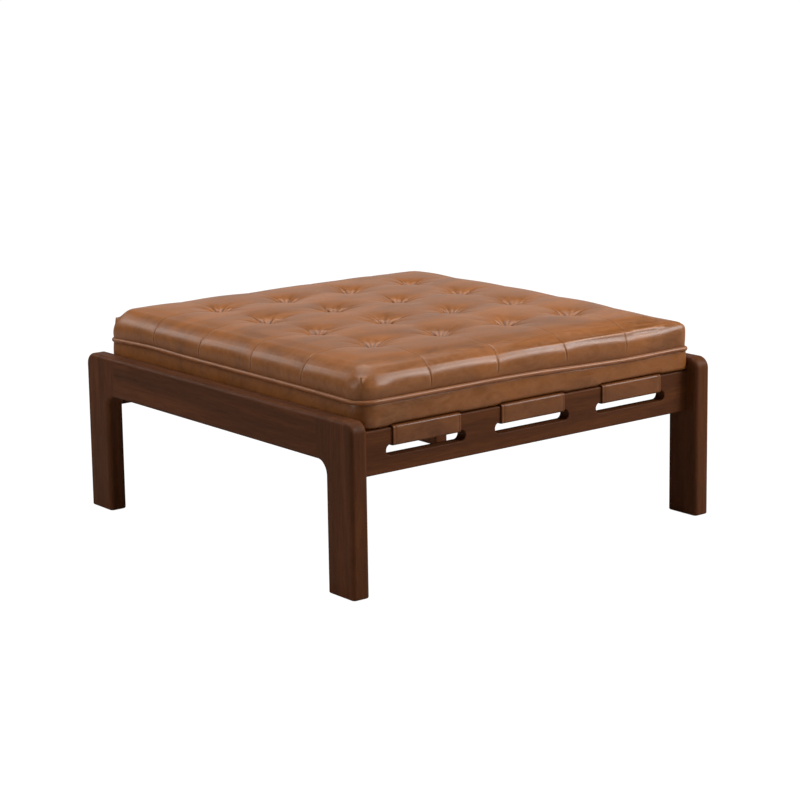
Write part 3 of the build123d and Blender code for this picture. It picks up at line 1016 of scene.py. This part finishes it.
def strap_profile(edge):
    """The strap's section, from its left lower edge: places across and shares of half its thickness."""
    below = [(0.0, -0.4), (0.5, -0.85), (1.5, -1)]
    above = [(0.0, 0.4), (0.6, 0.85), (1.8, 1), (4.2, 1), (4.9, 0.76), (5.6, 1), (12, 1), (40, 1)]
    profile = [(-edge + inset * MM, out) for inset, out in below]
    profile += [(edge - inset * MM, out) for inset, out in reversed(below)]
    profile += [(edge - inset * MM, out) for inset, out in above]
    profile += [(0, 1)]
    profile += [(-edge + inset * MM, out) for inset, out in reversed(above)]
    return profile


def leather_strap(number, low, high):
    """One strap as a strip with softened edges and a pressed line beside each edge."""
    path = np.array(strap_path())
    middle = (high[0] + low[0]) / 2
    profile = strap_profile((high[0] - low[0]) / 2)
    tangent = np.gradient(path, axis=0)
    tangent /= np.linalg.norm(tangent, axis=1)[:, None]
    normal = np.stack([tangent[:, 1], -tangent[:, 0]], axis=1) * STRAP_THICKNESS / 2
    points = []
    painted_shade_and_seams = []
    for (y, z), (normal_y, normal_z) in zip(path, normal):
        for across, out in profile:
            points.append((middle + across, y + normal_y * out, z + normal_z * out))
            # Painted shade on the strap's edge faces and in its pressed lines.
            painted_shade_and_seams.append(0.5 if 0.7 < out < 0.8 else (0.7 if abs(out) < 0.5 else 0.0))
    faces = tube_faces(len(path), len(profile), flipped=True)
    made = mesh_object("strap_leather_%d" % number, points, faces, strap_leather)
    set_mask(made, "painted_shade_and_seams", painted_shade_and_seams)
    set_mask(made, "stretch_and_highlight", np.zeros(len(points)))
    return made


# The cushion and the straps in place of their plain solids
for piece, solids in (
    (cushion_top(), ("cushion_top_cover",)),
    (cushion_band(), ("cushion_boxing", "cushion_bottom_panel")),
):
    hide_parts(*solids)
    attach(piece, "cushion")

piping = cushion_welt()
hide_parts("cushion_welt")
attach(piping, "cushion")

for number, (low, high) in enumerate(strap_boxes, start=1):
    strap = leather_strap(number, low, high)
    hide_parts("leather_strap_%d" % number)
    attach(strap, "frame")


# Studio
LIGHT_AIM = (0, 0, 0.33)


def studio_floor():
    """A pale floor that reads as the photograph's white ground."""
    size = 60.0
    corners = [(-size, -size, 0), (size, -size, 0), (size, size, 0), (-size, size, 0)]
    material, tree, shader = new_material("Pale studio floor")
    shader.inputs["Base Color"].default_value = (0.40, 0.40, 0.40, 1)
    shader.inputs["Roughness"].default_value = 0.8
    glow = node(tree, "Emission", {"Color": (1, 1, 1, 1), "Strength": 1.15})
    seen = node(tree, "LightPath").outputs["Is Camera Ray"]
    glow_share = maths(tree, "MULTIPLY", seen, 0.88)
    mixed = node(tree, "MixShader", {0: glow_share, 1: shader.outputs[0], 2: glow.outputs[0]})
    tree.links.new(mixed.outputs[0], tree.nodes["Material Output"].inputs["Surface"])
    made = mesh_object("studio_floor", corners, [(0, 1, 2, 3)], material, smooth=False)


def studio_world():
    """White surroundings, dimmer as a light source than they look."""
    world = bpy.data.worlds.new("Studio")
    bpy.context.scene.world = world
    world.use_nodes = True
    tree = world.node_tree
    background = tree.nodes["Background"]
    background.inputs["Color"].default_value = (1, 1, 1, 1)
    seen = node(tree, "LightPath").outputs["Is Camera Ray"]
    strength = node(tree, "MapRange", {"Value": seen, "To Min": 0.09, "To Max": 1.0}).outputs[0]
    tree.links.new(strength, background.inputs["Strength"])


def softbox(name, place, size, power):
    """A rectangular area light at a place, aimed at the middle of the table, 0.33 m up."""
    data = bpy.data.lights.new(name, "AREA")
    data.shape = "RECTANGLE"
    data.size, data.size_y = size
    data.energy = power
    made = bpy.data.objects.new(name, data)
    bpy.context.collection.objects.link(made)
    made.location = place
    made.rotation_euler = (Vector(LIGHT_AIM) - Vector(place)).to_track_quat("-Z", "Y").to_euler()
    made.visible_camera = False


def photo_camera():
    """The photograph's camera: place, turn, lens."""
    yaw, pitch, roll = CAMERA_YAW, CAMERA_PITCH, CAMERA_ROLL
    forward = Vector((math.sin(yaw) * math.cos(pitch), math.cos(yaw) * math.cos(pitch), -math.sin(pitch)))
    level_right = Vector((math.cos(yaw), -math.sin(yaw), 0))
    level_down = forward.cross(level_right)
    right = math.cos(roll) * level_right + math.sin(roll) * level_down
    down = -math.sin(roll) * level_right + math.cos(roll) * level_down
    turn = Matrix((right, -down, -forward)).transposed().to_4x4()
    data = bpy.data.cameras.new("Photo camera")
    data.sensor_fit = "HORIZONTAL"
    data.sensor_width = SENSOR_WIDTH
    data.lens = CAMERA_FOCAL_PIXELS / PHOTO_WIDTH * SENSOR_WIDTH
    data.shift_y = CAMERA_SHIFT_UP
    made = bpy.data.objects.new("Photo camera", data)
    bpy.context.collection.objects.link(made)
    made.matrix_world = Matrix.Translation(CAMERA_PLACE) @ turn
    bpy.context.scene.camera = made


studio_floor()
studio_world()
for name, place, size, power in (
    ("Overhead softbox", (0.1, 0.2, 2.7), (2.4, 2.4), 54),
    ("Right front softbox", (3.2, -3.05, 2.75), (1.9, 1.8), 176),
    ("Front softbox", (-0.6, -3.6, 1.5), (1.8, 1.2), 4),
    ("Left back softbox", (-1.5, 2.9, 2.0), (1.4, 1.2), 21),
    ("Left softbox", (-3.4, 0.2, 1.3), (1.6, 1.0), 22),
    ("Backdrop glow", (2.0, 3.0, 1.0), (3.2, 1.2), 6),
):
    softbox(name, place, size, power)
photo_camera()
bpy.context.scene.view_settings.view_transform = "Standard"
